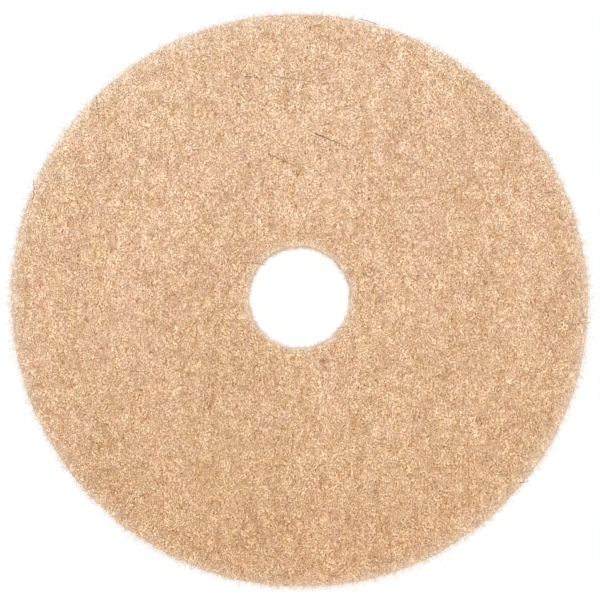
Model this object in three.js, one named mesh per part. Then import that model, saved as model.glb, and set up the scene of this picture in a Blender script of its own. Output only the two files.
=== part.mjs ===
// A 20 inch floor polishing pad of natural hair blend: one thick, springy disc of crimped polyester
// fibre and hog's hair, bonded into an open web and die-cut to a ring. The machine's driver grips
// one face while the other rubs the floor, and the pad can be turned over. The hole in the middle
// takes the driver's centring hub.
//
// Millimetres, +Z up. The pad lies flat, with its middle over the origin and its floor face at z = 0.
import * as THREE from "three";
import { ImprovedNoise } from "three/addons/math/ImprovedNoise.js";

// Driving dimensions of the cut ring
const PAD_DIAMETER = 508;
const PAD_THICKNESS = 25;
const BORE_DIAMETER = 86;

// The web springs back where the die has cut it. The corners go round and the walls go hollow.
const RIM_ROUNDING = 4;
const BORE_ROUNDING = 3;
const WALL_HOLLOW = 1.2;

// The soft ring isn't quite round: it is longest along one line, and tufts stand out of its edges.
const OUT_OF_ROUND = 1.5;
const LONG_AXIS_ANGLE = THREE.MathUtils.degToRad(-28);
const RIM_TUFT_HEIGHT = 1.6;
const RIM_TUFT_WIDTH = 26;
const BORE_TUFT_HEIGHT = 0.9;
const BORE_TUFT_WIDTH = 13;

// Loft of the two faces: wide dips where the web is thin, and pits between tufts. What is left
// between them is level, and that is what the driver and the floor touch.
const DIP_DEPTH = 1.2;
const DIP_WIDTH = 64;
const PIT_DEPTH = 1.5;
const PIT_WIDTH = 29;

// How uneven the web has to be for a dip or a pit to begin, on a scale from 0 to 1, and how much
// more makes it its full depth. Higher numbers leave more of the faces level.
const DIP_ONSET = 0.05;
const PIT_ONSET = 0.1;
const ONSET_TO_FULL = 0.5;

// How finely the surface is divided: the distance between its points, and the steps of a corner
// and of a cut wall. The points around the bore are closer, so that it stays round.
const SPACING = 10.8;
const BORE_SPACING = 5.6;
const CORNER_STEPS = 3;
const WALL_STEPS = 2;

const rimRadius = PAD_DIAMETER / 2;
const boreRadius = BORE_DIAMETER / 2;
const middle = PAD_THICKNESS / 2;

const perlin = new ImprovedNoise();

// Smooth unevenness of the web at a point, from -1 to 1, with bumps about as wide as width.
function unevenness(x, y, z, width) {
  const scale = 2 / width;
  return perlin.noise(x * scale, y * scale, z * scale + 0.5);
}

// Points along a curve of the section, without the first one, which the curve before ends on.
function along(curve, steps) {
  return curve.getPoints(steps).slice(1);
}

// A quarter circle that rounds one corner of the section.
function corner(radius, height, rounding, from) {
  const to = from + Math.PI / 2;
  return new THREE.EllipseCurve(radius, height, rounding, rounding, from, to);
}

// A cut wall from one height to another, drawn into the web at the middle. A quadratic curve goes
// half as far as its control point, so that point stands twice as far off.
function cutWall(radius, from, to, intoTheWeb) {
  return new THREE.QuadraticBezierCurve(
    new THREE.Vector2(radius, from),
    new THREE.Vector2(radius + intoTheWeb * 2 * WALL_HOLLOW, middle),
    new THREE.Vector2(radius, to),
  );
}

// A level face from one radius to another.
function face(from, to, height) {
  return new THREE.LineCurve(new THREE.Vector2(from, height), new THREE.Vector2(to, height));
}

// The section of the ring on one side of its axis, radius across and height up. It starts where
// the bore's corner meets the floor face and goes round anticlockwise, back to that point.
function section() {
  const rimCorner = rimRadius - RIM_ROUNDING;
  const boreCorner = boreRadius + BORE_ROUNDING;
  const rimTop = PAD_THICKNESS - RIM_ROUNDING;
  const boreTop = PAD_THICKNESS - BORE_ROUNDING;
  const faceSteps = Math.round((rimCorner - boreCorner) / (SPACING * Math.sin(Math.PI / 3)));
  return [
    ...along(face(boreCorner, rimCorner, 0), faceSteps),
    ...along(corner(rimCorner, RIM_ROUNDING, RIM_ROUNDING, -Math.PI / 2), CORNER_STEPS),
    ...along(cutWall(rimRadius, RIM_ROUNDING, rimTop, -1), WALL_STEPS),
    ...along(corner(rimCorner, rimTop, RIM_ROUNDING, 0), CORNER_STEPS),
    ...along(face(rimCorner, boreCorner, PAD_THICKNESS), faceSteps),
    ...along(corner(boreCorner, boreTop, BORE_ROUNDING, Math.PI / 2), CORNER_STEPS),
    ...along(cutWall(boreRadius, boreTop, BORE_ROUNDING, 1), WALL_STEPS),
    ...along(corner(boreCorner, BORE_ROUNDING, BORE_ROUNDING, Math.PI), CORNER_STEPS),
  ];
}

// How far the rim stands out of its circle here.
function rimSpread(angle, z) {
  const stretch = OUT_OF_ROUND * Math.cos(2 * (angle - LONG_AXIS_ANGLE));
  const x = rimRadius * Math.cos(angle);
  const y = rimRadius * Math.sin(angle);
  return stretch + RIM_TUFT_HEIGHT * unevenness(x, y, z, RIM_TUFT_WIDTH);
}

// How far the bore stands out of its circle here. The die's small inner blade cuts it truer.
function boreSpread(angle, z) {
  const x = boreRadius * Math.cos(angle);
  const y = boreRadius * Math.sin(angle);
  return BORE_TUFT_HEIGHT * unevenness(x, y, z, BORE_TUFT_WIDTH);
}

// How far the web lies below the level of its face here. It is 0 on the level parts.
function hollow(x, y, faceHeight) {
  const thin = unevenness(x, y, faceHeight, DIP_WIDTH);
  const gap = unevenness(x, y, faceHeight, PIT_WIDTH);
  return (
    DIP_DEPTH * THREE.MathUtils.smoothstep(thin, DIP_ONSET, DIP_ONSET + ONSET_TO_FULL) +
    PIT_DEPTH * THREE.MathUtils.smoothstep(gap, PIT_ONSET, PIT_ONSET + ONSET_TO_FULL)
  );
}

// Where a point of the true ring ends up once the soft web has found its own shape.
function springBack(radius, height, angle) {
  const outwards = (radius - boreRadius) / (rimRadius - boreRadius);
  const spread = THREE.MathUtils.lerp(
    boreSpread(angle, height),
    rimSpread(angle, height),
    outwards,
  );
  const x = (radius + spread) * Math.cos(angle);
  const y = (radius + spread) * Math.sin(angle);
  const lift = height - middle;
  const loft = 1 - hollow(x, y, lift > 0 ? PAD_THICKNESS : 0) / middle;
  return new THREE.Vector3(x, y, middle + lift * loft);
}

// How many points a circle takes where they lie about spacing apart.
function pointsAround(radius, spacing) {
  return Math.round((2 * Math.PI * radius) / spacing);
}

// A circle of points for one point of the section. None has fewer than the bore. Every second one
// is turned by half a step, so that the triangles between two circles come out even.
function circle(point, order, first) {
  const count = Math.max(pointsAround(boreRadius, BORE_SPACING), pointsAround(point.x, SPACING));
  const turn = (order % 2) / 2 / count;
  const points = Array.from({ length: count }, (_, i) =>
    springBack(point.x, point.y, 2 * Math.PI * (i / count + turn)),
  );
  return { points, count, turn, first };
}

// Triangles between two circles. It goes once round both, always on to the nearer next point.
function strip(inner, outer) {
  const triangles = [];
  const at = (ring, i) => ring.first + (i % ring.count);
  const share = (ring, i) => i / ring.count + ring.turn;
  let i = 0;
  let j = 0;
  while (i < inner.count || j < outer.count) {
    const inwards = i < inner.count && share(inner, i + 1) <= share(outer, j + 1);
    if (inwards || j === outer.count) {
      triangles.push(at(inner, i), at(inner, i + 1), at(outer, j));
      i += 1;
    } else {
      triangles.push(at(inner, i), at(outer, j + 1), at(outer, j));
      j += 1;
    }
  }
  return triangles;
}

// The die-cut ring: a circle for each point of its section, and a strip from each to the next.
function padGeometry() {
  const circles = [];
  let first = 0;
  section().forEach((point, order) => {
    const made = circle(point, order, first);
    circles.push(made);
    first += made.count;
  });
  const triangles = circles.flatMap((made, k) => strip(made, circles[(k + 1) % circles.length]));
  const geometry = new THREE.BufferGeometry();
  geometry.setFromPoints(circles.flatMap((made) => made.points));
  geometry.setIndex(triangles);
  geometry.computeVertexNormals();
  return geometry;
}

const webMaterial = new THREE.MeshStandardMaterial({
  color: 0xe0b891,
  roughness: 1,
  metalness: 0,
});

const pad = new THREE.Mesh(padGeometry(), webMaterial);
pad.name = "polishing_pad";

const floorPad = new THREE.Group();
floorPad.add(pad);

export default floorPad;
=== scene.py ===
"""Looks of a 20 inch floor polishing pad of natural hair blend.

The pad is one thick disc of bonded web, die-cut with a hole in the middle. Its look comes from
fibre: crimped polyester and hog's hair that curl over each other on both faces, loops and ends
that stand out of the cut edges, and a few long dark hairs. All lengths are in metres.
"""

import logging
import math
from dataclasses import dataclass, field
from enum import Enum

import bmesh
import bpy
from mathutils import Euler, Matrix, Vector


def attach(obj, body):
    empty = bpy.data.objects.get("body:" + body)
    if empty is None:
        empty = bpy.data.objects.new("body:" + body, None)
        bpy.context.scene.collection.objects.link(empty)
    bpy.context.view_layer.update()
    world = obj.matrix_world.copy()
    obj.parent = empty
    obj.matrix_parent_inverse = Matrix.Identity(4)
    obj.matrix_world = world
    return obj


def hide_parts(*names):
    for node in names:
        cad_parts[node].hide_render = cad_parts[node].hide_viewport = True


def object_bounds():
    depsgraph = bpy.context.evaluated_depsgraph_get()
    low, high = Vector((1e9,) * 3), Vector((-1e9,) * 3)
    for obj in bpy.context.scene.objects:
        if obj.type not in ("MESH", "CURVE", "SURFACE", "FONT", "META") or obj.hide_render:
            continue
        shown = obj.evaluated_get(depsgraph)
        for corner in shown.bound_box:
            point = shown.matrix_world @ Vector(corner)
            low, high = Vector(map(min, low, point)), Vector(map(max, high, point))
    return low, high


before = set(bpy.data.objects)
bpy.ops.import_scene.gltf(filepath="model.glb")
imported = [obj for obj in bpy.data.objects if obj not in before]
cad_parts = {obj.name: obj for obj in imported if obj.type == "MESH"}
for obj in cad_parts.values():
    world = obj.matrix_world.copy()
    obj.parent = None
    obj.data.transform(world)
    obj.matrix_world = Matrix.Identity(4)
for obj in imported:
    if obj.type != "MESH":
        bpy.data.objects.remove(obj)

log = logging.getLogger("floor_pad")

MM = 0.001
NODE = "polishing_pad"
BODY = "root"
WHITE = (1.0, 1.0, 1.0, 1.0)
PHOTO_PIXELS = 600
CAD_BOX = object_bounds()

# The kind of input of a Geometry Nodes tree that takes each type of value
SOCKETS = {
    float: "NodeSocketFloat",
    int: "NodeSocketInt",
    tuple: "NodeSocketVector",
    bpy.types.Material: "NodeSocketMaterial",
}

# What differs between the bore and the rim changes over between these radii.
INNER_RADIUS = 60 * MM
OUTER_RADIUS = 200 * MM


def linear(colour: str) -> tuple[float, float, float, float]:
    """Turns an sRGB hex colour into linear values.

    Args:
        colour: Six hex digits after a hash, such as "#e0b891".

    Returns:
        Red, green, blue and an alpha of 1.
    """
    parts = [int(colour[i : i + 2], 16) / 255 for i in (1, 3, 5)]
    return (*(c / 12.92 if c <= 0.04045 else ((c + 0.055) / 1.055) ** 2.4 for c in parts), 1.0)


class Graph:
    """A node tree under construction, of a material or of Geometry Nodes."""

    def __init__(self, tree: bpy.types.NodeTree) -> None:
        """Takes the tree and clears it."""
        self.tree = tree
        tree.nodes.clear()

    def add(self, kind: str, inputs: dict | None = None, **settings: object) -> bpy.types.Node:
        """Adds one node with its settings and links.

        Args:
            kind: The node's type, such as "ShaderNodeMath".
            inputs: A value, a socket or a node for each input, by name or by place. A node
                stands for its first output in use.
            settings: The node's own properties.

        Returns:
            The new node.
        """
        node = self.tree.nodes.new(kind)
        for name, value in settings.items():
            setattr(node, name, value)
        for key, value in (inputs or {}).items():
            if isinstance(value, bpy.types.Node):
                value = next(out for out in value.outputs if out.enabled)
            if isinstance(value, bpy.types.NodeSocket):
                self.tree.links.new(value, node.inputs[key])
            else:
                node.inputs[key].default_value = value
        return node

    def close(self, geometry: bpy.types.Node, material: bpy.types.NodeSocket) -> None:
        """Ends a Geometry Nodes tree with real, smooth geometry in its material.

        Args:
            geometry: What the tree has made.
            material: The input that holds the material.
        """
        shaded = self.add("GeometryNodeSetShadeSmooth", {"Geometry": geometry})
        real = self.add("GeometryNodeRealizeInstances", {"Geometry": shaded})
        dressed = self.add("GeometryNodeSetMaterial", {"Geometry": real, "Material": material})
        self.add("NodeGroupOutput", {"Geometry": dressed})


def new_material(name: str) -> tuple[bpy.types.Material, Graph]:
    """Makes an empty material.

    Args:
        name: Its name.

    Returns:
        The material and its tree.
    """
    made = bpy.data.materials.new(name)
    made.use_nodes = True
    return made, Graph(made.node_tree)


def blend(
    graph: Graph,
    value: bpy.types.Node,
    span: tuple[float, float],
    below: object,
    above: str,
    most: float = 1.0,
) -> bpy.types.Node:
    """Adds a colour that goes over to another one where a value is high.

    Args:
        graph: The material's tree.
        value: What decides.
        span: The values at which the second colour sets in and is at its most.
        below: The first colour.
        above: The second colour, in hex.
        most: How much of the second colour there is then.

    Returns:
        A node with the colour.
    """
    share = graph.add(
        "ShaderNodeMapRange",
        {"Value": value, "From Min": span[0], "From Max": span[1], "To Max": most},
    )
    return graph.add("ShaderNodeMix", {0: share, 6: below, 7: linear(above)}, data_type="RGBA")


@dataclass(frozen=True)
class Patches:
    """One smooth pattern of patches, which go from one tint to another.

    Onset and full are the values of the noise at which the second tint sets in and is whole.
    """

    width: float
    detail: float
    low: tuple[float, float, float]
    high: tuple[float, float, float]
    onset: float = 0.28
    full: float = 0.72

    def add_to(self, graph: Graph, place: bpy.types.Node) -> bpy.types.Node:
        """Adds the pattern to a material.

        Args:
            graph: The material's tree.
            place: Coordinates along the grain of the web.

        Returns:
            A node whose value multiplies a colour.
        """
        noise = graph.add(
            "ShaderNodeTexNoise", {"Vector": place, "Scale": 1 / self.width, "Detail": self.detail}
        )
        share = graph.add(
            "ShaderNodeMapRange", {"Value": noise, "From Min": self.onset, "From Max": self.full}
        )
        return graph.add("ShaderNodeMix", {0: share, 4: self.low, 5: self.high}, data_type="VECTOR")


@dataclass(frozen=True)
class Mottle:
    """Unevenness that the web shares with its loose fibres.

    The web is laid thicker in some places than in others, and where it is thin, the deeper,
    darker fibres show. It is painted paler and less saturated towards +y and duller towards -y:
    painted light, as if more light fell on that side. The hair in the blend turns some patches
    ochre and leaves others pinkish. Fibres shade each other where they cross. Real crossings are
    too fine for a picture, so these specks are drawn three times as wide.
    """

    stretch: float = 0.6
    layers: tuple[Patches, ...] = (
        Patches(width=60 * MM, detail=1.0, low=(0.97, 0.96, 0.94), high=(1.05, 1.06, 1.08)),
        Patches(width=7 * MM, detail=2.0, low=(0.92, 0.86, 0.78), high=(1.1, 1.12, 1.17)),
        Patches(width=0.65 * MM, detail=1.0, low=(0.74, 0.61, 0.47), high=(1.14, 1.26, 1.42)),
        Patches(width=10 * MM, detail=2.0, low=(1.0, 1.0, 0.93), high=(1.01, 0.97, 1.02)),
        Patches(
            width=4 * MM,
            detail=1.0,
            low=(1.0, 1.0, 1.0),
            high=(0.72, 0.54, 0.36),
            onset=0.65,
            full=0.76,
        ),
    )
    shaded_side: tuple[float, float, float] = (0.92, 0.85, 0.75)
    lit_side: tuple[float, float, float] = (1.08, 1.15, 1.26)
    lit_way: tuple[float, float, float] = (-0.1, 1.0, 0.0)

    def add_to(self, graph: Graph, place: bpy.types.NodeSocket) -> bpy.types.Node:
        """Adds the pattern to a material.

        Args:
            graph: The material's tree.
            place: Object coordinates.

        Returns:
            A node whose value multiplies a colour: about 1, and lower where the web is thin.
        """
        grain = graph.add(
            "ShaderNodeMapping", {"Vector": place, "Scale": (1.0, self.stretch, 1.0)}
        )
        # Painted light: a tint that goes from the shaded side to the lit side along lit_way.
        across = graph.add(
            "ShaderNodeVectorMath", {0: place, 1: self.lit_way}, operation="DOT_PRODUCT"
        )
        share = graph.add(
            "ShaderNodeMapRange",
            {
                "Value": across.outputs["Value"],
                "From Min": CAD_BOX[0].y,
                "From Max": CAD_BOX[1].y,
            },
        )
        tint = graph.add(
            "ShaderNodeMix", {0: share, 4: self.shaded_side, 5: self.lit_side}, data_type="VECTOR"
        )
        for layer in self.layers:
            patches = layer.add_to(graph, grain)
            tint = graph.add("ShaderNodeVectorMath", {0: tint, 1: patches}, operation="MULTIPLY")
        return tint


@dataclass(frozen=True)
class PaintedEdgeLight:
    """Painted light: paler colour along the cut edges, where light passes through the thin web.

    Most is the share of the pale colour at the edge itself. On the bore's wall it also paints over
    the shade. The bore is a little wider than the real one here, and its pull makes the pale ring
    around it narrower than the one at the rim.
    """

    colour: str = "#fff6e8"
    most: float = 0.7
    onset: float = 30 * MM
    full: float = 2 * MM
    falloff: float = 4.0
    rim: float = (CAD_BOX[1].x - CAD_BOX[0].x) / 2
    bore: float = 43.5 * MM
    bore_pull: float = 2.2

    def add_to(
        self, graph: Graph, place: bpy.types.NodeSocket, colour: bpy.types.Node
    ) -> bpy.types.Node:
        """Adds the paler edges to a material.

        Args:
            graph: The material's tree.
            place: Object coordinates.
            colour: The colour away from the edges.

        Returns:
            A node with the colour everywhere.
        """
        flat = graph.add(
            "ShaderNodeVectorMath", {0: place, 1: (1.0, 1.0, 0.0)}, operation="MULTIPLY"
        )
        radius = graph.add("ShaderNodeVectorMath", {0: flat}, operation="LENGTH")
        to_rim = graph.add(
            "ShaderNodeMath", {0: self.rim, 1: radius.outputs["Value"]}, operation="SUBTRACT"
        )
        out_of_bore = graph.add(
            "ShaderNodeMath", {0: radius.outputs["Value"], 1: self.bore}, operation="SUBTRACT"
        )
        to_bore = graph.add(
            "ShaderNodeMath", {0: out_of_bore, 1: self.bore_pull}, operation="MULTIPLY"
        )
        nearest = graph.add("ShaderNodeMath", {0: to_rim, 1: to_bore}, operation="MINIMUM")
        near = graph.add(
            "ShaderNodeMapRange", {"Value": nearest, "From Min": self.onset, "From Max": self.full}
        )
        thin = graph.add("ShaderNodeMath", {0: near, 1: self.falloff}, operation="POWER")
        pale = graph.add("ShaderNodeMath", {0: thin, 1: self.most}, operation="MULTIPLY")
        # Mixes in the painted edge light.
        return graph.add(
            "ShaderNodeMix", {0: pale, 6: colour, 7: linear(self.colour)}, data_type="RGBA"
        )


@dataclass(frozen=True)
class BondedWeb:
    """Nonwoven web of crimped fibre, bonded by sprayed resin.

    Deep in the web the fibres show only as a fine curly grain, pale on dark gaps. The dark gap
    colour is painted shade, where little light reaches between the strands. The resin leaves it
    matte. The grain is three layers of curly lines over each other, drawn coarser than real fibre,
    and layers says where in the noise each of them is cut from.
    """

    gap: str = "#8c5424"
    fibre: str = "#deb286"
    crest: str = "#ffdfb8"
    ochre: str = "#c39450"
    gap_span: tuple[float, float] = (0.0, 0.6)
    crest_span: tuple[float, float] = (0.6, 1.0)
    ochre_span: tuple[float, float] = (0.62, 0.74)
    ochre_most: float = 0.6
    curl: float = 3.4 * MM
    lines: float = 8.0
    line_span: tuple[float, float] = (0.15, 0.45)
    layers: tuple[float, float, float] = (0.0, 3.7, 8.1)
    stretch: float = 0.8
    relief: float = 0.5 * MM
    # Share of painted edge light at the cut edges of the web.
    painted_edge_light: float = 0.5
    roughness: float = 0.85
    sheen: float = 0.15

    def material(self) -> bpy.types.Material:
        """Makes the material.

        Returns:
            The material, on Object coordinates.
        """
        made, graph = new_material("bonded_web")
        coordinates = graph.add("ShaderNodeTexCoord").outputs["Object"]
        place = graph.add(
            "ShaderNodeMapping", {"Vector": coordinates, "Scale": (1.0, self.stretch, 1.0)}
        )
        strands = [self.strands(graph, place, shift) for shift in self.layers]
        height = graph.add("ShaderNodeMath", {0: strands[0], 1: strands[1]}, operation="MAXIMUM")
        height = graph.add("ShaderNodeMath", {0: height, 1: strands[2]}, operation="MAXIMUM")
        # Painted shade: the gaps between the strands are dark brown.
        low = blend(graph, height, self.gap_span, linear(self.gap), self.fibre)
        high = blend(graph, height, self.crest_span, low, self.crest)
        specks = graph.add(
            "ShaderNodeTexNoise", {"Vector": place, "Scale": 1 / (2 * self.curl), "Detail": 2.0}
        )
        spotted = blend(graph, specks, self.ochre_span, high, self.ochre, self.ochre_most)
        mottled = graph.add(
            "ShaderNodeVectorMath",
            {0: spotted, 1: Mottle().add_to(graph, place.outputs[0])},
            operation="MULTIPLY",
        )
        bump = graph.add(
            "ShaderNodeBump", {"Height": height, "Distance": self.relief, "Strength": 1.0}
        )
        shader = graph.add(
            "ShaderNodeBsdfPrincipled",
            {
                "Base Color": PaintedEdgeLight(most=self.painted_edge_light).add_to(graph, coordinates, mottled),
                "Normal": bump,
                "Roughness": self.roughness,
                "Sheen Weight": self.sheen,
            },
        )
        graph.add("ShaderNodeOutputMaterial", {"Surface": shader})
        return made

    def strands(self, graph: Graph, place: bpy.types.Node, shift: float) -> bpy.types.Node:
        """Adds one layer of curly strands, which follow the contour lines of a noise.

        Args:
            graph: The material's tree.
            place: Coordinates that stretch with the web.
            shift: Where in the noise this layer is cut from.

        Returns:
            A node whose value is 1 on a strand and 0 between them.
        """
        noise = graph.add(
            "ShaderNodeTexNoise",
            {"Vector": place, "W": shift, "Scale": 1 / self.curl, "Detail": 1.0},
            noise_dimensions="4D",
        )
        spread = graph.add("ShaderNodeMath", {0: noise, 1: self.lines}, operation="MULTIPLY")
        wave = graph.add("ShaderNodeMath", {0: spread, 1: 0.5}, operation="PINGPONG")
        low, high = self.line_span
        return graph.add("ShaderNodeMapRange", {"Value": wave, "From Min": low, "From Max": high})


@dataclass(frozen=True)
class LooseFibre:
    """Crimped polyester and bleached hog's hair at the surface of the web.

    Each fibre has a tone of its own, between honey and cream, and a soft sheen.
    """

    name: str
    dark: str = "#bc803a"
    middle: str = "#f0c69b"
    pale: str = "#f9e4ce"
    roughness: float = 0.7
    sheen: float = 0.1

    def material(self) -> bpy.types.Material:
        """Makes the material.

        Returns:
            The material, on the fibres' own tone and Object coordinates.
        """
        made, graph = new_material(self.name)
        tone = graph.add("ShaderNodeAttribute", attribute_name="tone").outputs["Fac"]
        ramp = graph.add("ShaderNodeValToRGB", {"Fac": tone})
        ramp.color_ramp.elements[0].color = linear(self.dark)
        ramp.color_ramp.elements[1].color = linear(self.pale)
        ramp.color_ramp.elements.new(0.5).color = linear(self.middle)
        place = graph.add("ShaderNodeTexCoord").outputs["Object"]
        mottled = graph.add(
            "ShaderNodeVectorMath",
            {0: ramp, 1: Mottle().add_to(graph, place)},
            operation="MULTIPLY",
        )
        shader = graph.add(
            "ShaderNodeBsdfPrincipled",
            {
                "Base Color": PaintedEdgeLight().add_to(graph, place, mottled),
                "Roughness": self.roughness,
                "Sheen Weight": self.sheen,
            },
        )
        graph.add("ShaderNodeOutputMaterial", {"Surface": shader})
        return made


class Side(Enum):
    """Which part of the pad's surface a layer of fibre covers, as the range of its normal's z."""

    TOP = (0.55, 1.0)
    BOTTOM = (-1.0, -0.55)
    CUT = (-0.75, 0.75)


@dataclass(frozen=True)
class FibreSizes:
    """How the fibres of one layer lie.

    Curl is the radius that they bend to. Lift is how far the highest stands off the web, and sink
    how far the ends go into it. Free ends is the share of fibres with a loose end. Tone is their
    range from dark to pale, and steps is how many straight parts each has.
    """

    name: str
    side: Side
    count: int
    length: float
    thickness: float
    curl: float
    lift: float
    seed: int
    sink: float = 0.5 * MM
    free_ends: float = 0.0
    crimp: float = 0.6 * MM
    steps: int = 6
    tone: tuple[float, float] = (0.0, 1.0)


def new_tree(name: str, sizes: dict[str, object]) -> bpy.types.NodeTree:
    """Makes a Geometry Nodes tree with its named inputs.

    Args:
        name: The tree's name.
        sizes: The default value of each input, by name. Its type says what the input takes.

    Returns:
        The tree, with no nodes yet.
    """
    tree = bpy.data.node_groups.new(name, "GeometryNodeTree")
    tree.interface.new_socket("Geometry", in_out="INPUT", socket_type="NodeSocketGeometry")
    for label, value in sizes.items():
        kind = SOCKETS[type(value)]
        socket = tree.interface.new_socket(label, in_out="INPUT", socket_type=kind)
        socket.default_value = value
    tree.interface.new_socket("Geometry", in_out="OUTPUT", socket_type="NodeSocketGeometry")
    return tree


def grow(
    name: str, mesh: bpy.types.Mesh, tree: bpy.types.NodeTree, values: dict
) -> bpy.types.Object:
    """Runs a Geometry Nodes tree on a mesh and keeps the result as a plain mesh.

    Args:
        name: The new object's name.
        mesh: What the tree starts from.
        tree: The tree.
        values: What its named inputs are set to.

    Returns:
        An object at the origin, with no modifier left.
    """
    made = bpy.data.objects.new(name, mesh)
    bpy.context.scene.collection.objects.link(made)
    modifier = made.modifiers.new(name, "NODES")
    modifier.node_group = tree
    for item in tree.interface.items_tree:
        if item.item_type == "SOCKET" and item.in_out == "INPUT" and item.name in values:
            modifier[item.identifier] = values[item.name]
    graph = bpy.context.evaluated_depsgraph_get()
    plain = bpy.data.meshes.new_from_object(made.evaluated_get(graph), depsgraph=graph)
    plain.name = name
    made.modifiers.clear()
    made.data = plain
    return made


def from_bore_to_rim(
    graph: Graph, place: bpy.types.Node, at_bore: object, at_rim: object
) -> bpy.types.Node:
    """Adds a value that changes over between the bore and the rim.

    Args:
        graph: A tree of Geometry Nodes.
        place: The position.
        at_bore: The value at the bore.
        at_rim: The value at the rim.

    Returns:
        A node with the value.
    """
    outwards = graph.add("ShaderNodeVectorMath", {0: place}, operation="LENGTH")
    return graph.add(
        "ShaderNodeMapRange",
        {
            "Value": outwards.outputs["Value"],
            "From Min": INNER_RADIUS,
            "From Max": OUTER_RADIUS,
            "To Min": at_bore,
            "To Max": at_rim,
        },
    )


def triangles(piece: bpy.types.Object) -> int:
    """Counts a piece's triangles."""
    return sum(len(face.vertices) - 2 for face in piece.data.polygons)


@dataclass
class PadWeb:
    """The bonded web under the loose fibres. It follows the CAD solid, a little inside it.

    Cuts is how often each edge of the solid is divided. Level span says how level the surface is
    where a cut wall becomes a face, and gap span at which values of the noise a gap begins and is
    at its deepest.
    """

    cuts: int = 2
    smoothing: int = 3
    face_inset: float = 0.5 * MM
    wall_inset: float = 3.4 * MM
    bore_inset: float = 2.0 * MM
    gap_width: float = 8 * MM
    gap_depth: float = 1.5 * MM
    gap_span: tuple[float, float] = (0.48, 0.7)
    gap_detail: float = 1.5
    gap_roughness: float = 0.6
    level_span: tuple[float, float] = (0.7, 1.0)
    merge: float = 0.01 * MM
    finish: BondedWeb = field(default_factory=BondedWeb)

    def tree(self, sizes: dict[str, object]) -> bpy.types.NodeTree:
        """Builds the tree that turns the CAD solid into a lofted web.

        Args:
            sizes: Its inputs.

        Returns:
            The tree.
        """
        tree = new_tree("lofted_web", sizes)
        graph = Graph(tree)
        given = graph.add("NodeGroupInput").outputs
        blurred = graph.add(
            "GeometryNodeBlurAttribute",
            {"Value": graph.add("GeometryNodeInputPosition"), "Iterations": given["Smoothing"]},
            data_type="FLOAT_VECTOR",
        )
        smooth = graph.add(
            "GeometryNodeSetPosition", {"Geometry": given["Geometry"], "Position": blurred}
        )
        normal = graph.add("GeometryNodeInputNormal")
        up = graph.add("ShaderNodeSeparateXYZ", {0: normal}).outputs["Z"]
        level = graph.add("ShaderNodeMath", {0: up}, operation="ABSOLUTE")
        low, high = self.level_span
        flat = graph.add("ShaderNodeMapRange", {"Value": level, "From Min": low, "From Max": high})
        place = graph.add("GeometryNodeInputPosition")
        wall = from_bore_to_rim(graph, place, given["Bore Inset"], given["Wall Inset"])
        inset = graph.add("ShaderNodeMix", {0: flat, 2: wall, 3: given["Face Inset"]})
        fineness = graph.add("ShaderNodeMath", {0: 1.0, 1: given["Gap Width"]}, operation="DIVIDE")
        noise = graph.add(
            "ShaderNodeTexNoise",
            {"Scale": fineness, "Detail": self.gap_detail, "Roughness": self.gap_roughness},
        )
        shallow, deep = self.gap_span
        gap = graph.add(
            "ShaderNodeMapRange", {"Value": noise, "From Min": shallow, "From Max": deep}
        )
        depth = graph.add(
            "ShaderNodeMath", {0: gap, 1: given["Gap Depth"], 2: inset}, operation="MULTIPLY_ADD"
        )
        inwards = graph.add("ShaderNodeMath", {0: depth, 1: -1.0}, operation="MULTIPLY")
        offset = graph.add(
            "ShaderNodeVectorMath", {0: normal, "Scale": inwards}, operation="SCALE"
        )
        lofted = graph.add("GeometryNodeSetPosition", {"Geometry": smooth, "Offset": offset})
        graph.close(lofted, given["Material"])
        return tree

    def divided(self) -> bpy.types.Mesh:
        """Copies the CAD node's mesh and divides each triangle evenly.

        Returns:
            The copy, with its vertices merged.
        """
        shape = bmesh.new()
        shape.from_mesh(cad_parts[NODE].data)
        bmesh.ops.remove_doubles(shape, verts=shape.verts, dist=self.merge)
        bmesh.ops.subdivide_edges(shape, edges=shape.edges, cuts=self.cuts, use_grid_fill=True)
        mesh = bpy.data.meshes.new("pad_web")
        shape.to_mesh(mesh)
        shape.free()
        return mesh

    def build(self) -> bpy.types.Object:
        """Makes the piece and lets it stand for the CAD node.

        Returns:
            The web's object.
        """
        sizes = {
            "Smoothing": self.smoothing,
            "Face Inset": self.face_inset,
            "Wall Inset": self.wall_inset,
            "Bore Inset": self.bore_inset,
            "Gap Width": self.gap_width,
            "Gap Depth": self.gap_depth,
            "Material": self.finish.material(),
        }
        web = grow("pad_web", self.divided(), self.tree(sizes), sizes)
        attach(web, BODY)
        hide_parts(NODE)
        return web


class Draw(Enum):
    """What is drawn by chance for each fibre, as a number that is added to its layer's seed."""

    HEADING = 100
    CURL = 200
    LENGTH = 300
    CRIMP = 400
    FREE_END = 500
    LIFT = 600
    TONE = 700


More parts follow.
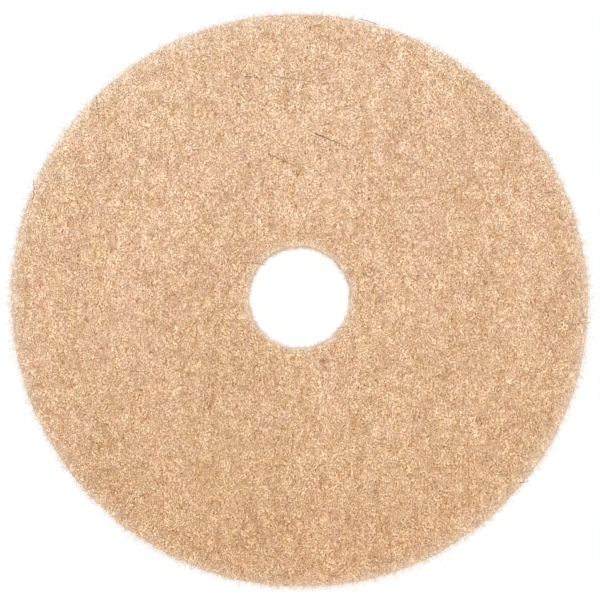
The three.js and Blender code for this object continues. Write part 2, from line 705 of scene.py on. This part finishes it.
@dataclass
class FibreTree:
    """The Geometry Nodes tree that grows curled fibres on a surface.

    Roots are scattered over the surface and copied along each fibre. The copies are curled and
    crimped, laid back onto the surface, lifted off it and joined to thin tubes. Sizes are its
    inputs.
    """

    sizes: dict[str, object]
    grain: float = 0.4
    curl_range: tuple[float, float] = (0.6, 2.2)
    length_range: tuple[float, float] = (0.6, 1.3)
    crimp_width: float = 5 * MM
    crimp_spread: float = 4.0
    crimp_reach: float = 40.0
    low_lying: float = 1.6
    tip_share: float = 0.35
    sides: int = 3
    cell_margin: float = 0.1
    cell_span: float = 0.8

    def __post_init__(self) -> None:
        """Makes the tree with its inputs, and scatters the roots."""
        self.tree = new_tree("curled_fibres", self.sizes)
        self.graph = Graph(self.tree)
        self.given = self.graph.add("NodeGroupInput").outputs
        self.normal = self.graph.add("GeometryNodeInputNormal")
        self.place = self.graph.add("GeometryNodeInputPosition")
        self.index = self.graph.add("GeometryNodeInputIndex").outputs[0]
        self.scatter()

    def scatter(self) -> None:
        """Scatters the roots on one side of the web and copies each of them along its fibre."""
        graph = self.graph
        given = self.given
        up = graph.add("ShaderNodeSeparateXYZ", {0: self.normal}).outputs["Z"]
        above = graph.add(
            "ShaderNodeMath", {0: up, 1: given["Lowest Normal"]}, operation="GREATER_THAN"
        )
        below = graph.add(
            "ShaderNodeMath", {0: up, 1: given["Highest Normal"]}, operation="LESS_THAN"
        )
        chosen = graph.add("ShaderNodeMath", {0: above, 1: below}, operation="MULTIPLY")
        density = graph.add(
            "ShaderNodeMath", {0: chosen, 1: given["Density"]}, operation="MULTIPLY"
        )
        roots = graph.add(
            "GeometryNodeDistributePointsOnFaces",
            {"Mesh": given["Geometry"], "Density": density, "Seed": given["Seed"]},
        )
        kept = graph.add(
            "GeometryNodeCaptureAttribute", {"Geometry": roots.outputs["Points"]}, domain="POINT"
        )
        kept.capture_items.new("VECTOR", "Root Normal")
        kept.capture_items.new("INT", "Fibre")
        graph.tree.links.new(roots.outputs["Normal"], kept.inputs["Root Normal"])
        graph.tree.links.new(self.index, kept.inputs["Fibre"])
        points = graph.add("ShaderNodeMath", {0: given["Steps"], 1: 1.0}, operation="ADD")
        self.roots = roots.outputs["Points"]
        self.root_normal = kept.outputs["Root Normal"]
        self.fibre = kept.outputs["Fibre"]
        self.copies = graph.add(
            "GeometryNodeDuplicateElements",
            {"Geometry": kept.outputs["Geometry"], "Amount": points},
            domain="POINT",
        )
        self.along = graph.add(
            "ShaderNodeMath",
            {0: self.copies.outputs["Duplicate Index"], 1: given["Steps"]},
            operation="DIVIDE",
        )
        left = graph.add("ShaderNodeMath", {0: 1.0, 1: self.along}, operation="SUBTRACT")
        product = graph.add("ShaderNodeMath", {0: self.along, 1: left}, operation="MULTIPLY")
        # The product is a quarter at the middle of a fibre, so four times it makes a bow of 1.
        self.bow = graph.add("ShaderNodeMath", {0: product, 1: 4.0}, operation="MULTIPLY")

    def chance(self, low: object, high: object, draw: Draw) -> bpy.types.Node:
        """Adds a random number that is the same all along a fibre.

        Args:
            low: The least it can be.
            high: The most it can be.
            draw: What it is for.

        Returns:
            A node whose value is the number.
        """
        seed = self.graph.add(
            "ShaderNodeMath", {0: self.given["Seed"], 1: float(draw.value)}, operation="ADD"
        )
        return self.graph.add(
            "FunctionNodeRandomValue",
            {2: low, 3: high, "ID": self.fibre, "Seed": seed},
            data_type="FLOAT",
        )

    def bent(self, share: bpy.types.Node) -> bpy.types.Node:
        """Adds a heading that favours the grain of the web.

        Args:
            share: A random number from -1 to 1.

        Returns:
            A node whose value is an angle.
        """
        graph = self.graph
        wave = graph.add("ShaderNodeMath", {0: share, 1: 2 * math.pi}, operation="MULTIPLY")
        sine = graph.add("ShaderNodeMath", {0: wave}, operation="SINE")
        even = graph.add("ShaderNodeMath", {0: share, 1: math.pi}, operation="MULTIPLY")
        return graph.add(
            "ShaderNodeMath", {0: sine, 1: -self.grain, 2: even}, operation="MULTIPLY_ADD"
        )

    def curled(self) -> bpy.types.Node:
        """Curls each fibre about a centre beside its root.

        Returns:
            A node with the places along the fibres.
        """
        graph = self.graph
        across = graph.add(
            "ShaderNodeVectorMath",
            {0: self.root_normal, 1: self.given["Grain"]},
            operation="CROSS_PRODUCT",
        )
        heading = graph.add(
            "ShaderNodeVectorRotate",
            {
                "Vector": graph.add("ShaderNodeVectorMath", {0: across}, operation="NORMALIZE"),
                "Axis": self.root_normal,
                "Angle": self.bent(self.chance(-1.0, 1.0, Draw.HEADING)),
            },
            rotation_type="AXIS_ANGLE",
        )
        radius = graph.add(
            "ShaderNodeMath",
            {0: self.given["Curl Radius"], 1: self.chance(*self.curl_range, Draw.CURL)},
            operation="MULTIPLY",
        )
        centre = graph.add(
            "ShaderNodeVectorMath",
            {0: heading, 1: radius, 2: self.place},
            operation="MULTIPLY_ADD",
        )
        length = graph.add(
            "ShaderNodeMath",
            {0: self.given["Length"], 1: self.chance(*self.length_range, Draw.LENGTH)},
            operation="MULTIPLY",
        )
        middle = graph.add("ShaderNodeMath", {0: self.along, 1: 0.5}, operation="SUBTRACT")
        run = graph.add("ShaderNodeMath", {0: middle, 1: length}, operation="MULTIPLY")
        turn = graph.add("ShaderNodeMath", {0: run, 1: radius}, operation="DIVIDE")
        return graph.add(
            "ShaderNodeVectorRotate",
            {"Vector": self.place, "Center": centre, "Axis": self.root_normal, "Angle": turn},
            rotation_type="AXIS_ANGLE",
        )

    def crimped(self, curled: bpy.types.Node) -> bpy.types.Node:
        """Shakes the fibres with a noise, each with one of its own.

        Args:
            curled: The places along the fibres.

        Returns:
            A node with the new places.
        """
        graph = self.graph
        noise = graph.add(
            "ShaderNodeTexNoise",
            {
                "Vector": curled,
                "W": self.chance(0.0, self.crimp_reach, Draw.CRIMP),
                "Scale": 1 / self.crimp_width,
                "Detail": 0.0,
            },
            noise_dimensions="4D",
        )
        shaken = graph.add(
            "ShaderNodeVectorMath",
            {0: noise.outputs["Color"], 1: (0.5, 0.5, 0.5)},
            operation="SUBTRACT",
        )
        spread = graph.add(
            "ShaderNodeMath", {0: self.given["Crimp"], 1: self.crimp_spread}, operation="MULTIPLY"
        )
        return graph.add(
            "ShaderNodeVectorMath", {0: shaken, 1: spread, 2: curled}, operation="MULTIPLY_ADD"
        )

    def height(self) -> bpy.types.Node:
        """Adds how high the fibres stand off the surface. Most of them lie low.

        A fibre that is held at both ends bows, and a free one rises to its tip. Both start a
        little inside the web.

        Returns:
            A node whose value is a length.
        """
        graph = self.graph
        given = self.given
        loose = graph.add(
            "ShaderNodeMath",
            {0: self.chance(0.0, 1.0, Draw.FREE_END), 1: given["Free Ends"]},
            operation="LESS_THAN",
        )
        rise = graph.add("ShaderNodeMix", {0: loose, 2: self.bow, 3: self.along})
        share = graph.add(
            "ShaderNodeMath",
            {0: self.chance(0.0, 1.0, Draw.LIFT), 1: self.low_lying},
            operation="POWER",
        )
        short = from_bore_to_rim(graph, self.place, given["Bore Share"], 1.0)
        reach = graph.add("ShaderNodeMath", {0: given["Lift"], 1: short}, operation="MULTIPLY")
        top = graph.add("ShaderNodeMath", {0: share, 1: reach}, operation="MULTIPLY")
        span = graph.add("ShaderNodeMath", {0: top, 1: given["Sink"]}, operation="ADD")
        above_root = graph.add("ShaderNodeMath", {0: rise, 1: span}, operation="MULTIPLY")
        return graph.add(
            "ShaderNodeMath", {0: above_root, 1: given["Sink"]}, operation="SUBTRACT"
        )

    def lifted(self, crimped: bpy.types.Node) -> bpy.types.Node:
        """Lays the fibres back onto the surface, lifts them off it and keeps them off the floor.

        Args:
            crimped: The places along the fibres.

        Returns:
            A node with the final places.
        """
        graph = self.graph
        given = self.given
        onto = graph.add(
            "GeometryNodeSampleNearestSurface",
            {"Mesh": given["Geometry"], "Value": self.place, "Sample Position": crimped},
            data_type="FLOAT_VECTOR",
        )
        facing = graph.add(
            "GeometryNodeSampleNearestSurface",
            {"Mesh": given["Geometry"], "Value": self.normal, "Sample Position": crimped},
            data_type="FLOAT_VECTOR",
        )
        upright = graph.add("ShaderNodeMath", {0: 1.0, 1: given["Sideways"]}, operation="SUBTRACT")
        lean = graph.add("ShaderNodeCombineXYZ", {"X": 1.0, "Y": 1.0, "Z": upright})
        away = graph.add("ShaderNodeVectorMath", {0: facing, 1: lean}, operation="MULTIPLY")
        lifted = graph.add(
            "ShaderNodeVectorMath", {0: away, 1: self.height(), 2: onto}, operation="MULTIPLY_ADD"
        )
        parts = graph.add("ShaderNodeSeparateXYZ", {0: lifted}).outputs
        off_floor = graph.add(
            "ShaderNodeMath", {0: parts["Z"], 1: given["Floor Gap"]}, operation="MAXIMUM"
        )
        return graph.add("ShaderNodeCombineXYZ", {"X": parts["X"], "Y": parts["Y"], "Z": off_floor})

    def tubes(self, places: bpy.types.Node) -> bpy.types.Node:
        """Joins the places along each fibre to a tube that is thinner at its ends.

        Args:
            places: The final places.

        Returns:
            A node with the tubes, each with a tone of its own.
        """
        graph = self.graph
        given = self.given
        laid = graph.add("GeometryNodeSetPosition", {"Geometry": self.copies, "Position": places})
        shade = self.chance(given["Lowest Tone"], given["Highest Tone"], Draw.TONE)
        tone = graph.add(
            "GeometryNodeStoreNamedAttribute",
            {"Geometry": laid, "Name": "tone", "Value": shade},
            data_type="FLOAT",
            domain="POINT",
        )
        lines = graph.add(
            "GeometryNodePointsToCurves",
            {"Points": tone, "Curve Group ID": self.fibre, "Weight": self.along},
        )
        taper = graph.add(
            "ShaderNodeMapRange", {"Value": self.bow, "To Min": self.tip_share, "To Max": 1.0}
        )
        half = graph.add("ShaderNodeMath", {0: given["Thickness"], 1: 0.5}, operation="MULTIPLY")
        profile = graph.add(
            "GeometryNodeCurvePrimitiveCircle", {"Resolution": self.sides, "Radius": 1.0}
        )
        side = graph.add("GeometryNodeCaptureAttribute", {"Geometry": profile}, domain="POINT")
        side.capture_items.new("INT", "Side")
        graph.tree.links.new(self.index, side.inputs["Side"])
        self.side = side.outputs["Side"]
        return graph.add(
            "GeometryNodeCurveToMesh",
            {
                "Curve": lines,
                "Profile Curve": side.outputs["Geometry"],
                "Scale": graph.add("ShaderNodeMath", {0: half, 1: taper}, operation="MULTIPLY"),
                "Fill Caps": True,
            },
        )

    def unrolled(self, tubes: bpy.types.Node) -> bpy.types.Node:
        """Gives each fibre a cell of its own in the OFBake map, a picture its colours can be baked
        into.

        The cells stand in a square of rows. In its cell, a fibre's sides go across and its length
        goes up.

        Args:
            tubes: The tubes.

        Returns:
            A node with the mapped tubes.
        """
        graph = self.graph
        fibre = self.fibre
        size = graph.add(
            "GeometryNodeAttributeDomainSize", {"Geometry": self.roots}, component="POINTCLOUD"
        )
        root = graph.add("ShaderNodeMath", {0: size.outputs["Point Count"]}, operation="SQRT")
        columns = graph.add("ShaderNodeMath", {0: root}, operation="CEIL")
        rows = graph.add("ShaderNodeMath", {0: fibre, 1: columns}, operation="DIVIDE")
        row = graph.add("ShaderNodeMath", {0: rows}, operation="FLOOR")
        column = graph.add("ShaderNodeMath", {0: fibre, 1: columns}, operation="MODULO")
        across = graph.add(
            "ShaderNodeMath",
            {0: self.side, 1: self.cell_span / (self.sides - 1), 2: self.cell_margin},
            operation="MULTIPLY_ADD",
        )
        upwards = graph.add(
            "ShaderNodeMath",
            {0: self.along, 1: self.cell_span, 2: self.cell_margin},
            operation="MULTIPLY_ADD",
        )
        corner = graph.add(
            "ShaderNodeCombineXYZ",
            {
                "X": graph.add("ShaderNodeMath", {0: column, 1: across}, operation="ADD"),
                "Y": graph.add("ShaderNodeMath", {0: row, 1: upwards}, operation="ADD"),
            },
        )
        mapped = graph.add("ShaderNodeVectorMath", {0: corner, 1: columns}, operation="DIVIDE")
        return graph.add(
            "GeometryNodeStoreNamedAttribute",
            {"Geometry": tubes, "Name": "OFBake", "Value": mapped},
            data_type="FLOAT2",
            domain="CORNER",
        )

    def build(self) -> bpy.types.NodeTree:
        """Builds the tree.

        Returns:
            The tree.
        """
        places = self.lifted(self.crimped(self.curled()))
        self.graph.close(self.unrolled(self.tubes(places)), self.given["Material"])
        return self.tree


@dataclass
class FibreCoat:
    """The loose fibres at the surface of the web, one layer for each piece.

    They are drawn several times as thick as real ones, and far fewer, so that each one shows.
    Those on the cut walls lean flat and outwards, and stand off less in the narrow bore.
    """

    web: bpy.types.Object
    floor_gap: float = 0.35 * MM
    wall_sideways: float = 0.85
    wall_bore_share: float = 0.45
    face_grain: tuple[float, float, float] = (0.0, 1.0, 0.0)
    wall_grain: tuple[float, float, float] = (0.0, 0.0, 1.0)
    layers: tuple[FibreSizes, ...] = (
        FibreSizes(
            name="face_fibres_deep",
            side=Side.TOP,
            count=3200,
            length=20 * MM,
            thickness=0.38 * MM,
            curl=6 * MM,
            lift=0.5 * MM,
            seed=11,
            tone=(0.0, 0.75),
        ),
        FibreSizes(
            name="face_fibres_middle",
            side=Side.TOP,
            count=4300,
            length=18 * MM,
            thickness=0.34 * MM,
            curl=5 * MM,
            lift=0.9 * MM,
            seed=12,
            tone=(0.1, 0.9),
        ),
        FibreSizes(
            name="face_fibres_high",
            side=Side.TOP,
            count=4300,
            length=16 * MM,
            thickness=0.32 * MM,
            curl=4.5 * MM,
            lift=1.5 * MM,
            seed=13,
            tone=(0.3, 1.0),
        ),
        FibreSizes(
            name="floor_face_fibres",
            side=Side.BOTTOM,
            count=3200,
            length=20 * MM,
            thickness=0.6 * MM,
            curl=6 * MM,
            lift=0.8 * MM,
            seed=14,
        ),
        FibreSizes(
            name="cut_edge_loops",
            side=Side.CUT,
            count=6200,
            length=9 * MM,
            thickness=0.38 * MM,
            curl=5 * MM,
            lift=6.0 * MM,
            free_ends=0.1,
            seed=15,
            steps=4,
        ),
        FibreSizes(
            name="cut_edge_fuzz",
            side=Side.CUT,
            count=5600,
            length=8 * MM,
            thickness=0.32 * MM,
            curl=3 * MM,
            lift=9.0 * MM,
            free_ends=0.6,
            seed=16,
            steps=4,
            tone=(0.3, 1.0),
        ),
    )

    def sizes(self, layer: FibreSizes, material: bpy.types.Material) -> dict[str, object]:
        """Lists what the tree's inputs are set to.

        Args:
            layer: The layer.
            material: Its material.

        Returns:
            The value of each input, by name.
        """
        low, high = layer.side.value
        on_wall = layer.side is Side.CUT
        area = sum(face.area for face in self.web.data.polygons if low < face.normal.z < high)
        return {
            "Lowest Normal": low,
            "Highest Normal": high,
            "Density": layer.count / area,
            "Length": layer.length,
            "Thickness": layer.thickness,
            "Curl Radius": layer.curl,
            "Crimp": layer.crimp,
            "Lift": layer.lift,
            "Sideways": self.wall_sideways if on_wall else 0.0,
            "Bore Share": self.wall_bore_share if on_wall else 1.0,
            "Sink": layer.sink,
            "Free Ends": layer.free_ends,
            "Floor Gap": self.floor_gap,
            "Lowest Tone": layer.tone[0],
            "Highest Tone": layer.tone[1],
            "Steps": layer.steps,
            "Grain": self.wall_grain if on_wall else self.face_grain,
            "Seed": layer.seed,
            "Material": material,
        }

    def build(self) -> list[bpy.types.Object]:
        """Makes one piece for each layer, all with one tree.

        Returns:
            The layers' objects.
        """
        material = LooseFibre("crimped_fibre").material()
        tree = FibreTree(self.sizes(self.layers[0], material)).build()
        made = []
        for layer in self.layers:
            coat = grow(layer.name, self.web.data, tree, self.sizes(layer, material))
            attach(coat, BODY)
            made.append(coat)
        return made


@dataclass(frozen=True)
class HogHair:
    """Unbleached hog's hair: stiff, brown and a little shiny, and paler towards its tip."""

    root: str = "#4a2504"
    tip: str = "#8c4f14"
    roughness: float = 0.6
    specular: float = 0.1
    streak: float = 2 * MM

    def material(self) -> bpy.types.Material:
        """Makes the material.

        Returns:
            The material, on the hairs' own length and Object coordinates.
        """
        made, graph = new_material("hog_hair")
        along = graph.add("ShaderNodeAttribute", attribute_name="along").outputs["Fac"]
        place = graph.add("ShaderNodeTexCoord").outputs["Object"]
        noise = graph.add(
            "ShaderNodeTexNoise", {"Vector": place, "Scale": 1 / self.streak, "Detail": 2.0}
        )
        share = graph.add("ShaderNodeMath", {0: along, 1: noise}, operation="MULTIPLY")
        colour = graph.add(
            "ShaderNodeMix",
            {0: share, 6: linear(self.root), 7: linear(self.tip)},
            data_type="RGBA",
        )
        shader = graph.add(
            "ShaderNodeBsdfPrincipled",
            {
                "Base Color": colour,
                "Roughness": self.roughness,
                "Specular IOR Level": self.specular,
            },
        )
        graph.add("ShaderNodeOutputMaterial", {"Surface": shader})
        return made


@dataclass(frozen=True)
class Hair:
    """One long hair that lies on a face of the pad. Its lengths are in millimetres.

    Bend is how far its middle stands aside of the straight line between its ends.
    """

    start: tuple[float, float]
    end: tuple[float, float]
    bend: float
    thickness: float

    def points(self, steps: int, turn: float) -> list[Vector]:
        """Places points along the hair.

        Args:
            steps: How many steps it takes.
            turn: How far the hair is turned about the pad's axis.

        Returns:
            The points, at a height of 0.
        """
        first = Vector((*self.start, 0.0)) * MM
        last = Vector((*self.end, 0.0)) * MM
        aside = (last - first).cross(Vector((0.0, 0.0, 1.0))).normalized()
        knee = (first + last) / 2 + aside * 2 * self.bend * MM
        places = []
        for step in range(steps + 1):
            share = step / steps
            place = first * (1 - share) ** 2 + knee * 2 * share * (1 - share) + last * share**2
            place.rotate(Euler((0.0, 0.0, turn)))
            places.append(place)
        return places


@dataclass
class DarkHairs:
    """The long dark hairs that lie across the pad. They are drawn twice as thick as real ones.

    Clear is how far they lie off the web, so that no fibre covers them. The shares are of the
    whole thickness, as radii at the root and at the tip.
    """

    web: bpy.types.Object
    steps: int = 12
    clear: float = 2.4 * MM
    sides: int = 5
    root_share: float = 0.5
    tip_share: float = 0.3
    floor_gap: float = 0.5 * MM
    floor_turn: float = math.radians(100)
    finish: HogHair = field(default_factory=HogHair)
    hairs: tuple[Hair, ...] = (
        Hair((-47.8, 194.1), (-31.1, 191.5), -0.6, 0.45),
        Hair((-23.2, 195.0), (13.7, 188.8), 0.6, 0.42),
        Hair((-53.9, 169.3), (-42.5, 172.8), -0.5, 0.34),
        Hair((13.2, 143.6), (42.6, 131.2), -0.4, 0.7),
        Hair((-27.5, 125.1), (1.4, 111.8), -0.7, 0.45),
        Hair((52.5, 245.3), (70.1, 240.0), -0.5, 0.45),
        Hair((3.1, -46.5), (8.3, -54.3), 0.5, 0.42),
        Hair((13.7, 201.2), (26.0, 200.8), 1.2, 0.34),
        Hair((27.4, 126.4), (26.3, 122.0), 0.2, 0.42),
        Hair((-178.7, 177.3), (-176.7, 153.3), -1.0, 0.38),
        Hair((-233.2, 103.0), (-233.0, 85.4), -0.8, 0.42),
        Hair((230.1, -23.1), (253.6, -22.2), 0.8, 0.42),
        Hair((190.6, -160.5), (198.4, -158.8), 0.5, 0.42),
    )
    hairs_at_bore: tuple[Hair, ...] = (
        Hair((-51.8, 29.7), (-29.1, 28.0), -0.8, 0.45),
        Hair((31.8, -27.0), (40.5, -25.2), 0.6, 0.42),
    )

    def laid(self, hair: Hair, turn: float, face: float) -> list[Vector]:
        """Lays a hair on a face of the web.

        Args:
            hair: The hair.
            turn: How far it is turned about the pad's axis.
            face: 1 for the upper face and -1 for the floor face.

        Returns:
            The hair's points.
        """
        level = CAD_BOX[1].z if face > 0 else 0.0
        points = []
        for point in hair.points(self.steps, turn):
            _, ground, _, _ = self.web.closest_point_on_mesh(Vector((point.x, point.y, level)))
            height = max(ground.z + face * self.clear, self.floor_gap)
            points.append(Vector((point.x, point.y, height)))
        return points

    def lines(self) -> bpy.types.Mesh:
        """Lays the hairs on both faces. The two at the bore's edge are on the upper one alone.

        Returns:
            A mesh of edges, with the thickness of the hair at each point.
        """
        points = []
        edges = []
        thickness = []
        upper = (1.0, 0.0, self.hairs + self.hairs_at_bore)
        lower = (-1.0, self.floor_turn, self.hairs)
        for face, turn, hairs in (upper, lower):
            for hair in hairs:
                first = len(points)
                points += self.laid(hair, turn, face)
                edges += [(i, i + 1) for i in range(first, len(points) - 1)]
                thickness += [hair.thickness * MM] * (self.steps + 1)
        mesh = bpy.data.meshes.new("hair_lines")
        mesh.from_pydata(points, edges, [])
        mesh.attributes.new("thickness", "FLOAT", "POINT").data.foreach_set("value", thickness)
        return mesh

    def tree(self, sizes: dict[str, object]) -> bpy.types.NodeTree:
        """Builds the tree that turns lines into tapered hairs.

        Args:
            sizes: Its inputs.

        Returns:
            The tree.
        """
        tree = new_tree("tapered_hairs", sizes)
        graph = Graph(tree)
        given = graph.add("NodeGroupInput").outputs
        lines = graph.add("GeometryNodeMeshToCurve", {"Mesh": given["Geometry"]})
        along = graph.add("GeometryNodeSplineParameter").outputs["Factor"]
        marked = graph.add(
            "GeometryNodeStoreNamedAttribute",
            {"Geometry": lines, "Name": "along", "Value": along},
            data_type="FLOAT",
            domain="POINT",
        )
        taper = graph.add(
            "ShaderNodeMapRange",
            {"Value": along, "To Min": given["Root Share"], "To Max": given["Tip Share"]},
        )
        thickness = graph.add(
            "GeometryNodeInputNamedAttribute", {"Name": "thickness"}, data_type="FLOAT"
        )
        profile = graph.add(
            "GeometryNodeCurvePrimitiveCircle", {"Resolution": given["Sides"], "Radius": 1.0}
        )
        radius = graph.add("ShaderNodeMath", {0: thickness, 1: taper}, operation="MULTIPLY")
        tubes = graph.add(
            "GeometryNodeCurveToMesh",
            {"Curve": marked, "Profile Curve": profile, "Scale": radius, "Fill Caps": True},
        )
        graph.close(tubes, given["Material"])
        return tree

    def build(self) -> bpy.types.Object:
        """Makes the piece.

        Returns:
            The hairs' object.
        """
        sizes = {
            "Sides": self.sides,
            "Root Share": self.root_share,
            "Tip Share": self.tip_share,
            "Material": self.finish.material(),
        }
        hairs = grow("dark_hairs", self.lines(), self.tree(sizes), sizes)
        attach(hairs, BODY)
        return hairs


@dataclass(frozen=True)
class Lamp:
    """A square soft lamp that points at the pad, with its power in watts."""

    name: str
    place: tuple[float, float, float]
    power: float
    size: float = 1.6

    def hang(self) -> None:
        """Adds the lamp to the scene."""
        data = bpy.data.lights.new(self.name, "AREA")
        data.size = self.size
        data.energy = self.power
        lamp = bpy.data.objects.new(self.name, data)
        bpy.context.scene.collection.objects.link(lamp)
        lamp.location = self.place
        lamp.rotation_euler = (-Vector(self.place)).to_track_quat("-Z", "Y").to_euler()


@dataclass
class Studio:
    """Camera, soft light and a pale floor that reads as white.

    Scale is how many pixels a metre takes at the aim. The floor also lights the cut edges from
    below, as a light table does. Under light is how strongly, where 1 would look white, so the
    cut walls get more than plain light here.
    """

    distance: float = 1.1
    tilt: float = math.radians(2.8)
    scale: float = 1134.0
    sensor: float = 36.0
    farthest: float = 20.0
    aim: tuple[float, float, float] = (0.5 * MM, -1.9 * MM, 12.5 * MM)
    floor_size: float = 6.0
    floor_colour: str = "#f0f0f0"
    floor_glow: float = 0.94
    under_light: float = 1.8
    surround: float = 0.58
    lamps: tuple[Lamp, ...] = (
        Lamp("key", (0.25, 0.6, 2.3), 29.5),
        Lamp("fill", (-0.5, -1.0, 2.0), 15.5),
    )

    def camera(self) -> None:
        """Sets the camera, nearly straight above the pad."""
        data = bpy.data.cameras.new("camera")
        data.sensor_width = self.sensor
        data.lens = self.scale * self.distance * self.sensor / PHOTO_PIXELS
        data.clip_end = self.farthest
        camera = bpy.data.objects.new("camera", data)
        bpy.context.scene.collection.objects.link(camera)
        way = Vector((0.0, -math.sin(self.tilt), math.cos(self.tilt)))
        camera.location = Vector(self.aim) + way * self.distance
        camera.rotation_euler = (self.tilt, 0.0, 0.0)
        bpy.context.scene.camera = camera

    def world(self) -> None:
        """Sets a plain pale surrounding light."""
        world = bpy.data.worlds.new("studio")
        bpy.context.scene.world = world
        world.use_nodes = True
        graph = Graph(world.node_tree)
        paths = graph.add("ShaderNodeLightPath").outputs
        strength = graph.add(
            "ShaderNodeMix", {0: paths["Is Camera Ray"], 2: self.surround, 3: 1.0}
        )
        light = graph.add("ShaderNodeBackground", {"Color": WHITE, "Strength": strength})
        graph.add("ShaderNodeOutputWorld", {"Surface": light})

    def floor(self) -> None:
        """Lays a pale floor that keeps a faint shadow."""
        half = self.floor_size / 2
        mesh = bpy.data.meshes.new("floor")
        corners = [(-half, -half, 0.0), (half, -half, 0.0), (half, half, 0.0), (-half, half, 0.0)]
        mesh.from_pydata(corners, [], [(0, 1, 2, 3)])
        floor = bpy.data.objects.new("floor", mesh)
        bpy.context.scene.collection.objects.link(floor)
        material, graph = new_material("pale_floor")
        paths = graph.add("ShaderNodeLightPath").outputs
        seen = graph.add(
            "ShaderNodeMath",
            {0: paths["Is Camera Ray"], 1: paths["Is Glossy Ray"]},
            operation="MAXIMUM",
        )
        seen = graph.add(
            "ShaderNodeMath", {0: seen, 1: paths["Is Transmission Ray"]}, operation="MAXIMUM"
        )
        matte = graph.add("ShaderNodeBsdfDiffuse", {"Color": linear(self.floor_colour)})
        strength = graph.add("ShaderNodeMix", {0: seen, 2: self.under_light, 3: 1.0})
        glow = graph.add("ShaderNodeEmission", {"Color": WHITE, "Strength": strength})
        share = graph.add("ShaderNodeMix", {0: seen, 2: 1.0, 3: self.floor_glow})
        shader = graph.add("ShaderNodeMixShader", {0: share, 1: matte, 2: glow})
        graph.add("ShaderNodeOutputMaterial", {"Surface": shader})
        mesh.materials.append(material)

    def build(self) -> None:
        """Sets up the whole studio."""
        bpy.context.scene.view_settings.view_transform = "Standard"
        self.camera()
        self.world()
        for lamp in self.lamps:
            lamp.hang()
        self.floor()


def main() -> None:
    """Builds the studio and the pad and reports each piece."""
    logging.basicConfig(level=logging.INFO, format="%(message)s")
    Studio().build()
    web = PadWeb().build()
    for piece in (web, *FibreCoat(web).build(), DarkHairs(web).build()):
        log.info("%s: %d triangles", piece.name, triangles(piece))


if __name__ == "__main__":
    main()
